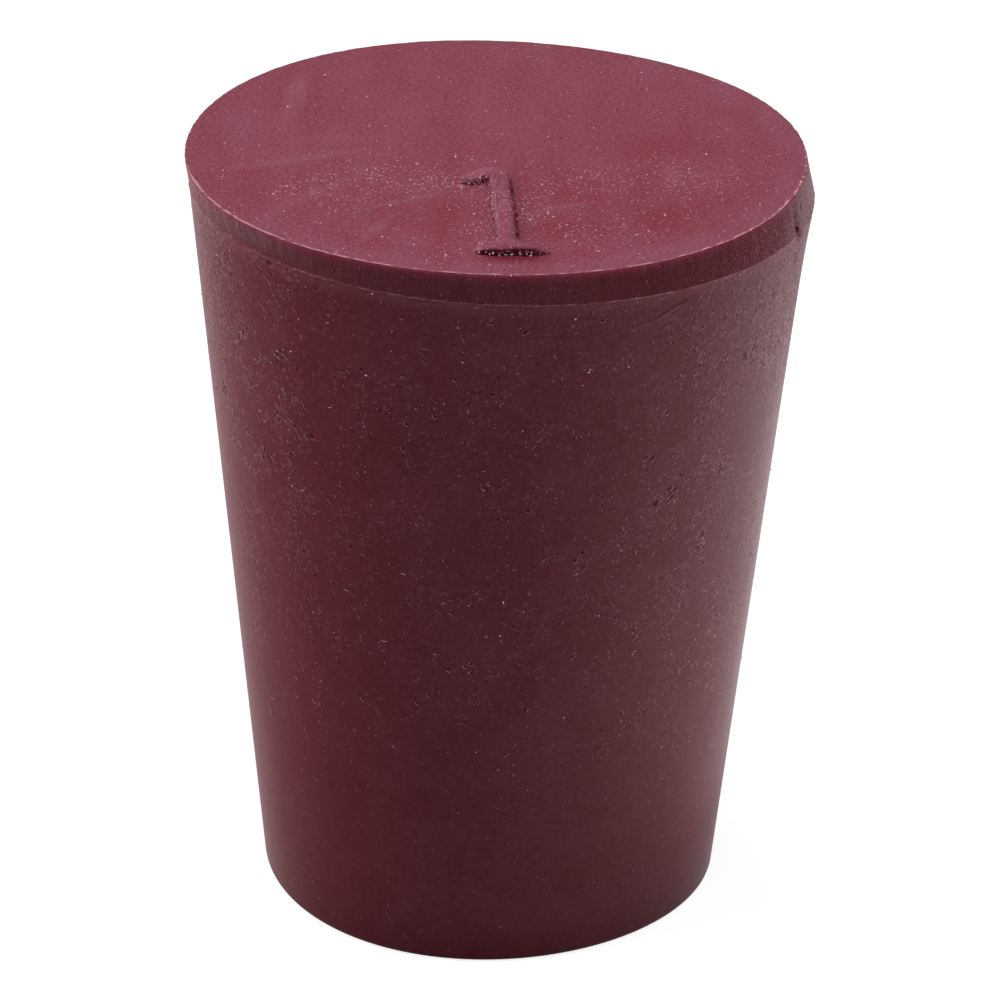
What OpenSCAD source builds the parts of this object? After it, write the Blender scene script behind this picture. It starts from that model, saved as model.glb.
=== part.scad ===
// Tapered rubber stopper: a solid plug for a tube or flask neck.
// It is moulded in a sheet, narrow end down, and cut out of the sheet with a
// round knife, which leaves a short straight band under the wide face.
// Millimetres. The origin is the centre of the narrow face, and +Z is up the axis.

/* [Plug] */
// Diameter of the wide face, which is the diameter of the round knife
top_d = 16.5; // [14:0.1:40]
// Diameter of the narrow face, measured where the taper would meet it with no rounding
bottom_d = 12.5; // [6:0.1:15.5]
// Height from the narrow face to the wide face
height = 21; // [8:0.5:60]

/* [Edges] */
// Radius of the rounding between the narrow face and the taper
edge_r = 0.2; // [0.1:0.05:2]
// Height of the band that the knife leaves, which is the thickness of the sheet
band_h = 0.8; // [0.2:0.05:3]
// How far the band stands out from the taper below it
band_step = 0.05; // [0.02:0.01:0.5]

/* [Hidden] */

// Dark red-brown rubber
RUBBER = [0.42, 0.21, 0.25];
// Sides of the round form
ROUND = 180;

// The taper runs from the narrow face up to the underside of the band
taper_h = height - band_h;
taper_top_r = top_d / 2 - band_step;
taper_angle = atan((taper_top_r - bottom_d / 2) / taper_h);

// The rounding crosses the taper by this much, so that the two surfaces join cleanly
JOIN = 0.001;
// The rounding's centre lies one radius above the narrow face, and one radius,
// less the join, in from the taper
edge_to_taper = edge_r - JOIN;
edge_centre_r = bottom_d / 2 - (edge_to_taper - edge_r * sin(taper_angle)) / cos(taper_angle);
// Foot of the line from that centre square to the taper
edge_end_r = edge_centre_r + edge_to_taper * cos(taper_angle);
edge_end_z = edge_r - edge_to_taper * sin(taper_angle);

// Half section of the plug, from the axis out to the taper
module taper_section() {
    polygon([
        [0, 0],
        [edge_centre_r, 0],
        [edge_end_r, edge_end_z],
        [taper_top_r, taper_h],
        [0, taper_h],
    ]);
    translate([edge_centre_r, edge_r])
        circle(r = edge_r, $fn = 64);
}

// Half section of the sheet's thickness, cut straight by the knife
module band_section() {
    translate([0, taper_h])
        square([top_d / 2, band_h]);
}

// The whole stopper, turned about its axis as one moulded solid
module stopper() {
    color(RUBBER)
        rotate_extrude($fn = ROUND) {
            taper_section();
            band_section();
        }
}

stopper();
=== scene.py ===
"""Tapered rubber stopper with its finishes, its dust and a plain studio.

The moulded plug is one closed skin: base, flank, cut band and wide face, rolled from one
half section and then moved by waves, because the round knife wandered.
The size numeral stands on the wide face, and fine pale dust lies on both.
All sizes here are millimetres; meshes are turned into metres when they are finished.
The front is at 270 degrees round the axis, and X points to the right.
"""

import logging
import math
import random
from dataclasses import dataclass, field, replace
from enum import Enum

import bmesh
import bpy
from mathutils import Matrix, Vector, noise
from mathutils.bvhtree import BVHTree

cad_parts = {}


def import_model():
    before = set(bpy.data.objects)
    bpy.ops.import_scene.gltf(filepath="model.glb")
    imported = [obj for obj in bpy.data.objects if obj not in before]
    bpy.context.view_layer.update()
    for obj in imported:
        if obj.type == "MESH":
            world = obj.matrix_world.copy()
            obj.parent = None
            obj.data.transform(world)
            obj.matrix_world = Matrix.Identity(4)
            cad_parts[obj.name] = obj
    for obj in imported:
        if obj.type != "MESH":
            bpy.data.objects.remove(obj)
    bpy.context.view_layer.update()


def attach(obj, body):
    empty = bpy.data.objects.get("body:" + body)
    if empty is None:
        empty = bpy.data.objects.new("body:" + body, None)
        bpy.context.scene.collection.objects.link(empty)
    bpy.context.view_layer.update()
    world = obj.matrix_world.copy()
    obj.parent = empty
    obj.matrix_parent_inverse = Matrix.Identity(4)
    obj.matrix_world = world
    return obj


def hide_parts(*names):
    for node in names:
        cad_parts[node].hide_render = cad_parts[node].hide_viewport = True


LOG = logging.getLogger("stopper")
MM = 0.001

RIM_SHIFT = 0.155  # how far the rim's middle lies to the left of the axis
MARK_DEPTH = 0.8  # how far a mark on the flank reaches in and out
CUT_LEAN = 0.113  # how much lower the band's edge runs at the right than on average

ABOVE = 24.0  # a height well over the plug, from which rays are cast down
DOWN = (0.0, 0.0, -1.0)
WHITE = (1.0, 1.0, 1.0, 1.0)

Colour = tuple[float, float, float]
Point = tuple[float, float, float]
Socket = bpy.types.NodeSocket


# ---------------------------------------------------------------- nominal form


@dataclass(frozen=True)
class Taper:
    """Nominal sizes of the plug, as the solid has them."""

    height: float = 21.0
    foot_radius: float = 6.25
    shoulder_radius: float = 8.20
    shoulder_height: float = 20.2
    rim_radius: float = 8.25
    edge_radius: float = 0.2

    def slope(self) -> float:
        """How much the radius grows with each millimetre of height."""
        return (self.shoulder_radius - self.foot_radius) / self.shoulder_height

    def radius(self, height: float) -> float:
        """Radius of the taper at a height."""
        return self.foot_radius + (self.shoulder_radius - self.foot_radius) * height / self.shoulder_height


NOMINAL = Taper()


# ---------------------------------------------------------------- small helpers


def smooth(low: float, high: float, value: float) -> float:
    """Ease from 0 at low to 1 at high."""
    t = min(1.0, max(0.0, (value - low) / (high - low)))
    return t * t * (3.0 - 2.0 * t)


@dataclass(frozen=True)
class Wave:
    """One even wave round the axis."""

    turns: int
    height: float
    crest: float

    def at(self, angle: float) -> float:
        """Height of the wave at an angle in radians."""
        return self.height * math.cos(self.turns * angle - math.radians(self.crest))


@dataclass(frozen=True)
class Ripple:
    """Uneven noise round the axis: about how many swells a turn has, which noise, and its height."""

    turns: float
    seed: float
    height: float

    def at(self, angle: float) -> float:
        """Height of the noise, which closes on itself round the axis.

        Args:
            angle: Angle round the axis, in radians.

        Returns:
            The height, seldom past the ripple's own.
        """
        reach = self.turns / 6.0
        place = Vector((math.cos(angle) * reach, math.sin(angle) * reach, self.seed))
        return self.height * (1.6 * noise.noise(place))


def swell(waves: tuple[Wave | Ripple, ...], angle: float) -> float:
    """Sum of some waves or ripples at an angle in radians."""
    return sum(wave.at(angle) for wave in waves)


@dataclass(frozen=True)
class Stretch:
    """A stretch of an edge, by bearings in degrees: where it starts, is full, fades and ends."""

    start: float
    full: float
    fading: float
    end: float
    strength: float = 1.0

    def at(self, angle: float) -> float:
        """Strength of the stretch.

        Args:
            angle: Angle round the axis, in radians.

        Returns:
            The strength, which is 0 outside the stretch.
        """
        turned = math.degrees(angle) % 360.0
        rising = smooth(self.start, self.full, turned)
        return self.strength * rising * (1.0 - smooth(self.fading, self.end, turned))


def finish_mesh(form: bmesh.types.BMesh, name: str) -> bpy.types.Object:
    """Turn a bmesh in millimetres into a smooth-shaded object in metres.

    Args:
        form: The shape, in millimetres. It is freed here.
        name: Name of the new object and its mesh.

    Returns:
        The object, at the origin and unscaled.
    """
    bmesh.ops.scale(form, vec=(MM, MM, MM), verts=form.verts)
    mesh = bpy.data.meshes.new(name)
    form.to_mesh(mesh)
    form.free()
    mesh.shade_smooth()
    piece = bpy.data.objects.new(name, mesh)
    bpy.context.scene.collection.objects.link(piece)
    return piece


# ---------------------------------------------------------------- shader arithmetic


class Bench:
    """A material's node tree, with plain arithmetic on its sockets."""

    def __init__(self, name: str) -> None:
        """Start a new material that holds one Principled shader.

        Args:
            name: Name of the material.
        """
        self.material = bpy.data.materials.new(name)
        self.material.use_nodes = True
        self.nodes = self.material.node_tree.nodes
        self.links = self.material.node_tree.links
        self.nodes.clear()
        output = self.nodes.new("ShaderNodeOutputMaterial")
        self.shader = self.nodes.new("ShaderNodeBsdfPrincipled")
        self.links.new(self.shader.outputs["BSDF"], output.inputs["Surface"])
        place = self.nodes.new("ShaderNodeTexCoord")
        scale = self.nodes.new("ShaderNodeMapping")
        scale.inputs["Scale"].default_value = (1 / MM, 1 / MM, 1 / MM)
        self.links.new(place.outputs["Object"], scale.inputs["Vector"])
        self.place = scale.outputs["Vector"]

    def feed(self, target: Socket, value: Socket | float | Point) -> None:
        """Link a socket to an input, or set the input to a constant.

        Args:
            target: The input.
            value: What it gets.
        """
        if isinstance(value, bpy.types.NodeSocket):
            self.links.new(value, target)
        else:
            target.default_value = value

    def math(self, kind: str, *values: Socket | float, clamp: bool = False) -> Socket:
        """A Math node over one to three values.

        Args:
            kind: The node's operation.
            values: What it works on.
            clamp: Whether the result is kept from 0 to 1.

        Returns:
            The result.
        """
        node = self.nodes.new("ShaderNodeMath")
        node.operation = kind
        node.use_clamp = clamp
        for target, value in zip(node.inputs, values):
            self.feed(target, value)
        return node.outputs[0]

    def add(self, *values: Socket | float) -> Socket:
        """Sum of the values.

        Args:
            values: What is added up.

        Returns:
            The sum.
        """
        total = values[0]
        for value in values[1:]:
            total = self.math("ADD", total, value)
        return total

    def mul(self, *values: Socket | float) -> Socket:
        """Product of the values.

        Args:
            values: What is multiplied.

        Returns:
            The product.
        """
        total = values[0]
        for value in values[1:]:
            total = self.math("MULTIPLY", total, value)
        return total

    def step(self, value: Socket, low: float, high: float, start: float = 0.0, end: float = 1.0) -> Socket:
        """Ease from one number to another as a value grows or falls.

        Args:
            value: What is watched.
            low: Where the ease starts; it may be the greater one.
            high: Where it ends.
            start: The result at low.
            end: The result at high.

        Returns:
            The eased number.
        """
        node = self.nodes.new("ShaderNodeMapRange")
        node.interpolation_type = "SMOOTHSTEP"
        node.clamp = True
        self.feed(node.inputs["Value"], value)
        if high < low:
            low, high, start, end = high, low, end, start
        node.inputs["From Min"].default_value = low
        node.inputs["From Max"].default_value = high
        node.inputs["To Min"].default_value = start
        node.inputs["To Max"].default_value = end
        return node.outputs["Result"]

    def stretch(self, scale: Point, shift: Point = (0.0, 0.0, 0.0)) -> Socket:
        """The object's place in millimetres, scaled and shifted.

        Args:
            scale: What each coordinate is multiplied by.
            shift: What is then added.

        Returns:
            The new place.
        """
        node = self.nodes.new("ShaderNodeMapping")
        self.links.new(self.place, node.inputs["Vector"])
        node.inputs["Scale"].default_value = scale
        node.inputs["Location"].default_value = shift
        return node.outputs["Vector"]

    def axis(self, name: str) -> Socket:
        """One coordinate of the place in millimetres.

        Args:
            name: X, Y or Z.

        Returns:
            The coordinate.
        """
        node = self.nodes.new("ShaderNodeSeparateXYZ")
        self.links.new(self.place, node.inputs["Vector"])
        return node.outputs[name]

    def side(self) -> Socket:
        """Which side of the plug this is, from -1 at its left edge to 1 at its right."""
        girth = self.math("MULTIPLY_ADD", self.axis("Z"), NOMINAL.slope(), NOMINAL.foot_radius)
        return self.math("DIVIDE", self.axis("X"), girth)

    def off_centre(self, low: float, high: float, start: float = 0.0, end: float = 1.0) -> Socket:
        """Ease from start to end as the place goes from the plug's middle to either side."""
        return self.step(self.math("ABSOLUTE", self.side()), low, high, start, end)

    def grain(
        self, place: Socket, scale: float, detail: float = 2.0, rough: float = 0.5, bend: float = 0.0
    ) -> Socket:
        """Noise from 0 to 1.

        Args:
            place: Where to look up the pattern, in millimetres.
            scale: Swells per millimetre.
            detail: Finer layers on top of the first.
            rough: How strong each finer layer is.
            bend: How far the pattern is twisted.

        Returns:
            The noise.
        """
        node = self.nodes.new("ShaderNodeTexNoise")
        self.links.new(place, node.inputs["Vector"])
        node.inputs["Scale"].default_value = scale
        node.inputs["Detail"].default_value = detail
        node.inputs["Roughness"].default_value = rough
        node.inputs["Distortion"].default_value = bend
        return node.outputs["Fac"]

    def blend(self, share: Socket | float, first: Socket | Colour, second: Socket | Colour) -> Socket:
        """Mix two colours.

        Args:
            share: Share of the second colour, from 0 to 1.
            first: The colour where the share is 0.
            second: The colour where it is 1.

        Returns:
            The mixed colour.
        """
        node = self.nodes.new("ShaderNodeMix")
        node.data_type = "RGBA"
        self.feed(node.inputs[0], share)
        for target, value in ((node.inputs[6], first), (node.inputs[7], second)):
            if isinstance(value, tuple):
                value = (*value, 1.0)
            self.feed(target, value)
        return node.outputs[2]

    def warped(self, place: Socket, scale: float, reach: float) -> Socket:
        """The place pushed about by a noise, so that what is drawn there has a ragged outline.

        Args:
            place: The place, in millimetres.
            scale: Swells per millimetre.
            reach: How far the place is pushed, in millimetres.

        Returns:
            The new place.
        """
        node = self.nodes.new("ShaderNodeTexNoise")
        self.links.new(place, node.inputs["Vector"])
        node.inputs["Scale"].default_value = scale
        node.inputs["Detail"].default_value = 2.0
        push = self.vector("SUBTRACT", node.outputs["Color"], (0.5, 0.5, 0.5))
        return self.vector("MULTIPLY_ADD", push, (reach, reach, reach), place)

    def vector(self, kind: str, *values: Socket | Point) -> Socket:
        """A Vector Math node over one to three vectors.

        Args:
            kind: The node's operation.
            values: What it works on.

        Returns:
            The result.
        """
        node = self.nodes.new("ShaderNodeVectorMath")
        node.operation = kind
        for target, value in zip(node.inputs, values):
            self.feed(target, value)
        return node.outputs["Value" if kind == "LENGTH" else "Vector"]

    def fitted(self, place: Socket, mark: "Mark") -> Socket:
        """The place in a mark's own frame, where its outline is a ball of radius 1.

        Args:
            place: The place, in millimetres.
            mark: The mark.

        Returns:
            The place in the mark's frame.
        """
        node = self.nodes.new("ShaderNodeMapping")
        node.vector_type = "TEXTURE"
        self.links.new(place, node.inputs["Vector"])
        node.inputs["Location"].default_value = mark.middle
        node.inputs["Rotation"].default_value = mark.turn
        node.inputs["Scale"].default_value = mark.reach
        return node.outputs["Vector"]

    def marks(self, place: Socket, marks: "tuple[Mark, ...]", core: float) -> Socket:
        """All the marks laid over each other.

        Args:
            place: Where to look them up, in millimetres.
            marks: The marks.
            core: Share of a mark's reach within which it is full.

        Returns:
            A field from 0 outside to each mark's strength inside.
        """
        total = None
        for mark in marks:
            away = self.vector("LENGTH", self.fitted(place, mark))
            shade = self.step(away, 1.0, core, 0.0, mark.strength)
            total = shade if total is None else self.math("MAXIMUM", total, shade)
        return total

    def specks(self, place: Socket, cell: float, size: float, share: Socket | float) -> Socket:
        """Round dots scattered one to a cell.

        Args:
            place: Where to look up the pattern, in millimetres.
            cell: Width of a cell in millimetres.
            size: Largest radius of a dot in millimetres.
            share: Share of the cells that hold a dot.

        Returns:
            1 in a dot, 0 elsewhere, soft at the edge.
        """
        node = self.nodes.new("ShaderNodeTexVoronoi")
        self.links.new(place, node.inputs["Vector"])
        node.inputs["Scale"].default_value = 1.0 / cell
        chance = self.nodes.new("ShaderNodeSeparateColor")
        self.links.new(node.outputs["Color"], chance.inputs["Color"])
        held = self.math("LESS_THAN", chance.outputs["Red"], share)
        reach = self.math("MULTIPLY_ADD", chance.outputs["Green"], 0.7 * size / cell, 0.3 * size / cell)
        near = self.math("SUBTRACT", 1.0, self.math("DIVIDE", node.outputs["Distance"], reach))
        return self.mul(held, self.step(near, 0.0, 0.45))

    def pitted(self, place: Socket, cell: float, share: Socket | float) -> tuple[Socket, Socket]:
        """Pits scattered one to a cell, each with a painted highlight on a lip along its lower side.

        Args:
            place: Where to look up the pattern; the largest of the pits is a ball of radius 1.
            cell: Width of a cell.
            share: Share of the cells where pits lie.

        Returns:
            The pits and the painted highlights on their lips, from 0 to 1.
        """
        node = self.nodes.new("ShaderNodeTexVoronoi")
        self.links.new(place, node.inputs["Vector"])
        node.inputs["Scale"].default_value = 1.0 / cell
        chance = self.nodes.new("ShaderNodeSeparateColor")
        self.links.new(node.outputs["Color"], chance.inputs["Color"])
        held = self.math("LESS_THAN", chance.outputs["Red"], share)
        reach = self.math("MULTIPLY_ADD", chance.outputs["Green"], 0.6 / cell, 0.4 / cell)
        away = self.math("DIVIDE", node.outputs["Distance"], reach)
        split = self.nodes.new("ShaderNodeSeparateXYZ")
        self.links.new(self.vector("SUBTRACT", place, node.outputs["Position"]), split.inputs["Vector"])
        pit_and_shade = self.mul(held, self.step(away, 1.0, 0.6))
        ring = self.mul(self.step(away, 0.95, 1.10), self.step(away, 1.9, 1.3))
        return pit_and_shade, self.mul(held, ring, self.step(split.outputs["Z"], -0.1, -0.5))

    def relief(self, height: Socket, depth: float) -> Socket:
        """Bend the normal by a height.

        Args:
            height: The height, from 0 to 1.
            depth: How deep a height of 1 is, in millimetres.

        Returns:
            The bent normal.
        """
        node = self.nodes.new("ShaderNodeBump")
        node.inputs["Strength"].default_value = 1.0
        node.inputs["Distance"].default_value = depth * MM
        self.links.new(height, node.inputs["Height"])
        return node.outputs["Normal"]

    def finished(self, tone: Socket, roughness: float, shine: float) -> bpy.types.Material:
        """Give the shader its colour, roughness and gloss.

        Args:
            tone: The colour.
            roughness: The shader's roughness.
            shine: Its specular level.

        Returns:
            The material.
        """
        self.feed(self.shader.inputs["Base Color"], tone)
        self.shader.inputs["Roughness"].default_value = roughness
        self.shader.inputs["Specular IOR Level"].default_value = shine
        return self.material


# ---------------------------------------------------------------- finishes


@dataclass(frozen=True)
class Mark:
    """An oval mark on a surface: its middle, its turn and its half sizes, in millimetres."""

    middle: Point
    turn: Point
    reach: Point
    strength: float = 1.0


def on_flank(
    angle: float, height: float, long: float, wide: float, tilt: float = 0.0, strength: float = 1.0
) -> Mark:
    """A mark on the taper.

    Args:
        angle: Angle round the axis in degrees.
        height: Height over the base.
        long: Half length along the mark.
        wide: Half width across it.
        tilt: How far its length is turned up from level, in degrees.
        strength: Strength in its middle.

    Returns:
        The mark.
    """
    turn = math.radians(angle)
    radius = NOMINAL.radius(height)
    middle = (radius * math.cos(turn), radius * math.sin(turn), height)
    return Mark(middle, (math.radians(tilt), 0.0, turn), (MARK_DEPTH, long, wide), strength)


def on_face(x: float, y: float, long: float, wide: float, tilt: float = 0.0, strength: float = 1.0) -> Mark:
    """A mark on the wide face; tilt turns its length from the X axis, in degrees."""
    return Mark((x, y, NOMINAL.height), (0.0, 0.0, math.radians(tilt)), (long, wide, 1.0), strength)


@dataclass(frozen=True)
class FlankFinish:
    """Matt moulded skin of the taper: mottled, with grey bloom and a painted sheen at its sides, pitted,
    and with painted shade towards the foot.
    """

    name: str = "moulded_skin"
    deep: Colour = (0.186, 0.0385, 0.0525)
    dull: Colour = (0.222, 0.0530, 0.0725)
    # redder skin at the left: cleaner there, and brighter with painted light from the left
    clean_and_lit: Colour = (0.210, 0.0360, 0.0480)
    # grey bloom, also used for the painted sheen at the plug's sides
    bloom: Colour = (0.205, 0.0890, 0.0955)
    # painted sheen high on the right side of the flank
    painted_sheen: Colour = (0.300, 0.1450, 0.1850)
    # dark red of the pits, also used to paint shade
    pit_and_shade: Colour = (0.085, 0.0040, 0.0100)
    fleck: Colour = (0.60, 0.30, 0.34)
    lip: Colour = (0.45, 0.15, 0.18)
    roughness: float = 0.40
    shine: float = 0.03
    clusters: tuple[Mark, ...] = (
        on_flank(336.0, 18.20, 0.45, 0.34),
        on_flank(338.5, 17.30, 0.40, 0.45),
        on_flank(325.4, 17.38, 0.44, 0.42),
        on_flank(331.0, 18.80, 0.22, 0.24),
        on_flank(340.5, 19.40, 0.28, 0.50),
        on_flank(317.0, 17.65, 0.22, 0.18),
        on_flank(344.0, 15.80, 0.45, 0.60, 0.0, 0.5),
        on_flank(320.2, 14.35, 0.34, 0.28, 0.0, 0.6),
        on_flank(317.2, 12.10, 0.28, 0.28, 0.0, 0.6),
        on_flank(305.8, 14.00, 0.60, 0.34, 0.0, 0.5),
        on_flank(301.0, 15.20, 0.28, 0.24, 0.0, 0.6),
        on_flank(342.2, 10.30, 0.36, 0.60, 0.0, 0.7),
        on_flank(213.0, 17.40, 0.36, 0.45, 0.0, 0.6),
        on_flank(215.0, 16.20, 0.40, 0.26, 0.0, 0.55),
        on_flank(219.0, 14.30, 0.34, 0.30, 0.0, 0.6),
        on_flank(203.0, 15.15, 0.22, 0.55),
        on_flank(226.0, 17.50, 0.30, 0.28, 0.0, 0.55),
        on_flank(230.8, 15.55, 0.50, 0.34, 0.0, 0.5),
        on_flank(225.0, 19.90, 0.40, 0.16, 0.0, 0.35),
        on_flank(270.0, 14.90, 0.55, 0.20, 0.0, 0.3),
    )
    rough_patches: tuple[Mark, ...] = (
        on_flank(202.0, 17.0, 3.6, 4.2, 0.0, 0.9),
        on_flank(222.0, 17.0, 3.0, 3.4, 0.0, 0.8),
        on_flank(234.0, 13.6, 3.0, 3.0, 0.0, 0.85),
        on_flank(337.0, 17.6, 3.6, 3.4, 0.0, 1.7),
        on_flank(312.0, 14.2, 3.0, 2.6, 0.0, 0.6),
        on_flank(268.0, 15.4, 4.5, 3.0, 0.0, 0.45),
        on_flank(350.0, 12.0, 4.0, 5.0, 0.0, 0.5),
        on_flank(90.0, 15.5, 11.0, 5.0, 0.0, 0.75),
    )
    # painted shade in the lap's fold
    fold: tuple[Mark, ...] = (
        on_flank(302.2, 19.62, 0.60, 0.026, 23.4, 1.0),
        on_flank(295.6, 19.31, 0.50, 0.020, 12.5, 0.6),
    )
    # pale drag marks; the first two are a painted highlight along the lap below its fold
    drags_and_highlights: tuple[Mark, ...] = (
        on_flank(302.2, 19.54, 0.66, 0.050, 23.4, 0.5),
        on_flank(294.6, 19.25, 0.70, 0.030, 10.0, 0.3),
        on_flank(260.0, 19.28, 1.3, 0.018, 0.0, 0.5),
        on_flank(276.0, 19.17, 1.2, 0.016, 1.0, 0.5),
        on_flank(247.0, 1.05, 0.50, 0.030, -62.0, 0.5),
        on_flank(251.0, 0.62, 0.42, 0.026, -40.0, 0.6),
        on_flank(252.0, 0.30, 0.30, 0.024, 6.0, 0.5),
        on_flank(203.0, 11.2, 0.55, 0.020, 30.0, 0.4),
    )

    def build(self) -> bpy.types.Material:
        """Make the material, from the bare skin up to what lies on it.

        Returns:
            The material.
        """
        bench = Bench(self.name)
        cloud = bench.grain(bench.place, 0.45, 4.0, 0.6, 0.4)
        mottle = bench.grain(bench.place, 4.0, 3.0, 0.65)
        share = bench.add(bench.mul(cloud, 0.6), bench.mul(mottle, 0.4))
        rough = self.roughened(bench)
        hollow, lip_highlights, fine = self.scuffs(bench, rough)
        tone = self.skin(bench, share)
        # the pits' dark red, with painted shade in their hollows
        tone = bench.blend(bench.mul(hollow, 0.92), tone, self.pit_and_shade)
        tone = self.grained(bench, tone, rough, fine)
        # pale dust, and the painted highlights on the pits' lips
        flecks = bench.math("MAXIMUM", self.flecks(bench, rough), lip_highlights)
        tone = bench.blend(bench.mul(flecks, 0.90), tone, self.fleck)
        tone = self.under_band(bench, tone, mottle, share)
        tone = self.shaded(bench, tone)
        warped = bench.warped(bench.place, 2.5, 0.06)
        # pale drag marks and a painted highlight along the lap, then painted shade in its fold
        tone = bench.blend(bench.mul(bench.marks(warped, self.drags_and_highlights, 0.2), 0.26), tone, self.fleck)
        tone = bench.blend(bench.mul(bench.marks(warped, self.fold, 0.3), 0.60), tone, self.pit_and_shade)
        level = bench.mul(fine, bench.math("MULTIPLY_ADD", rough, 1.2, 0.3))
        level = bench.add(level, bench.mul(hollow, -2.2))
        bench.feed(bench.shader.inputs["Normal"], bench.relief(level, 0.020))
        return bench.finished(tone, self.roughness, self.shine)

    def skin(self, bench: Bench, share: Socket) -> Socket:
        """Colour of the skin: cleaner at the left and brighter there with painted light, with grey bloom
        and a painted sheen at its sides.

        Args:
            bench: The material's node tree.
            share: The mottle, from 0 to 1.

        Returns:
            The colour.
        """
        tone = bench.blend(bench.step(share, 0.38, 0.62), self.deep, self.dull)
        # cleaner skin at the left, made brighter with painted light from the left
        tone = bench.blend(bench.step(bench.side(), -0.15, -0.65, 0.0, 0.45), tone, self.clean_and_lit)
        # grey bloom and a painted sheen at the sides
        tone = bench.blend(bench.mul(self.bloom_and_sheen(bench), 0.62), tone, self.bloom)
        # a painted sheen high up on the right side
        upper = bench.step(bench.side(), 0.60, 0.80, 0.0, 0.24)
        upper = bench.mul(upper, bench.step(bench.axis("Z"), 8.0, 14.0))
        upper = bench.mul(upper, bench.step(bench.side(), 1.0, 0.93, 0.3, 1.0))
        return bench.blend(upper, tone, self.painted_sheen)

    def grained(self, bench: Bench, tone: Socket, rough: Socket, fine: Socket) -> Socket:
        """Darken the bottoms of the fine grain with painted shade and brighten its tops, most at the
        scuffed sides.

        Args:
            bench: The material's node tree.
            tone: The colour so far.
            rough: How scuffed the skin is.
            fine: The fine grain.

        Returns:
            The new colour.
        """
        edge = bench.off_centre(0.35, 0.85, 0.20, 0.70)
        # painted shade in the bottoms of the grain
        dark = bench.mul(bench.step(fine, 0.47, 0.31), bench.math("MULTIPLY_ADD", rough, edge, 0.27))
        tone = bench.blend(dark, tone, self.pit_and_shade)
        pale = bench.mul(bench.step(fine, 0.50, 0.68), bench.math("MULTIPLY_ADD", rough, edge, 0.05))
        pale = bench.mul(pale, bench.step(bench.side(), -0.2, -0.6, 0.80, 0.42))
        return bench.blend(pale, tone, self.fleck)

    def under_band(self, bench: Bench, tone: Socket, mottle: Socket, share: Socket) -> Socket:
        """Paler skin under the band, and a painted highlight on the ridge that the cut left along it.

        Args:
            bench: The material's node tree.
            tone: The colour so far.
            mottle: The finer half of the mottle.
            share: The whole mottle.

        Returns:
            The new colour.
        """
        lean = CUT_LEAN / NOMINAL.shoulder_radius
        high = bench.math("MULTIPLY_ADD", bench.axis("X"), lean, bench.axis("Z"))
        tone = bench.blend(bench.step(high, 19.75, 20.12, 0.0, 0.22), tone, self.lip)
        # painted highlight along the crest of the ridge
        ridge_highlight = bench.step(bench.math("MULTIPLY_ADD", mottle, 0.20, high), 20.260, 20.295, 0.0, 0.36)
        ridge_highlight = bench.mul(ridge_highlight, bench.step(share, 0.44, 0.54, 0.45, 1.0))
        ridge_highlight = bench.mul(ridge_highlight, bench.step(bench.side(), -0.8, -0.4, 0.4, 1.0))
        ridge_highlight = bench.mul(ridge_highlight, bench.off_centre(0.05, 0.32, 0.45, 1.0))
        return bench.blend(ridge_highlight, tone, self.fleck)

    def shaded(self, bench: Bench, tone: Socket) -> Socket:
        """Paint shade on the skin towards the foot, each time where a side and a height meet.

        Args:
            bench: The material's node tree.
            tone: The colour so far.

        Returns:
            The new colour.
        """
        level = bench.axis("Z")
        for across, down in (
            (bench.step(bench.side(), 0.40, 0.85, 0.32, 0.11), bench.step(level, 1.6, 0.0)),
            (bench.off_centre(0.25, 0.80), bench.step(level, 10.0, 1.5, 0.0, 0.17)),
            (bench.step(bench.side(), -0.35, -0.80, 0.0, 0.22), bench.step(level, 4.0, 0.8)),
            (bench.step(bench.side(), 0.90, 0.97, 0.0, 0.20), bench.step(level, 14.0, 10.0)),
        ):
            # painted shade towards the foot
            tone = bench.blend(bench.mul(across, down), tone, self.pit_and_shade)
        return tone

    def bloom_and_sheen(self, bench: Bench) -> Socket:
        """Share of the grey bloom and the painted sheen, which lie thicker on the plug's right side and its
        back, and along its left edge.

        Args:
            bench: The material's node tree.

        Returns:
            The share.
        """
        streaks = bench.grain(bench.stretch((0.8, 0.8, 0.12)), 1.6, 3.0, 0.6)
        right = bench.step(bench.side(), -0.08, 0.86)
        right = bench.mul(right, bench.step(bench.axis("Z"), 4.0, 17.0, 0.8, 1.15))
        # the grey along the left edge is a painted sheen
        wandering = bench.add(bench.side(), bench.math("MULTIPLY_ADD", streaks, -0.24, 0.12))
        left = bench.step(wandering, -0.80, -1.0, 0.0, 0.95)
        return bench.mul(bench.add(right, left), bench.step(streaks, 0.2, 0.7, 0.6, 1.0))

    def roughened(self, bench: Bench) -> Socket:
        """How scuffed the skin is.

        Args:
            bench: The material's node tree.

        Returns:
            A field from 0 on the unscuffed lower part to 1, and more in the worst patches.
        """
        patches = bench.marks(bench.place, self.rough_patches, 0.3)
        clumps = bench.grain(bench.place, 1.0, 3.0, 0.65)
        upper = bench.step(bench.axis("Z"), 4.0, 12.0, 0.04, 0.50)
        both = bench.mul(bench.math("MAXIMUM", patches, upper), bench.step(clumps, 0.42, 0.62, 0.12, 1.0))
        corner = bench.mul(bench.off_centre(0.72, 0.92, 0.0, 0.9), bench.step(bench.axis("Z"), 15.0, 18.5))
        return bench.math("MAXIMUM", both, corner)

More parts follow.
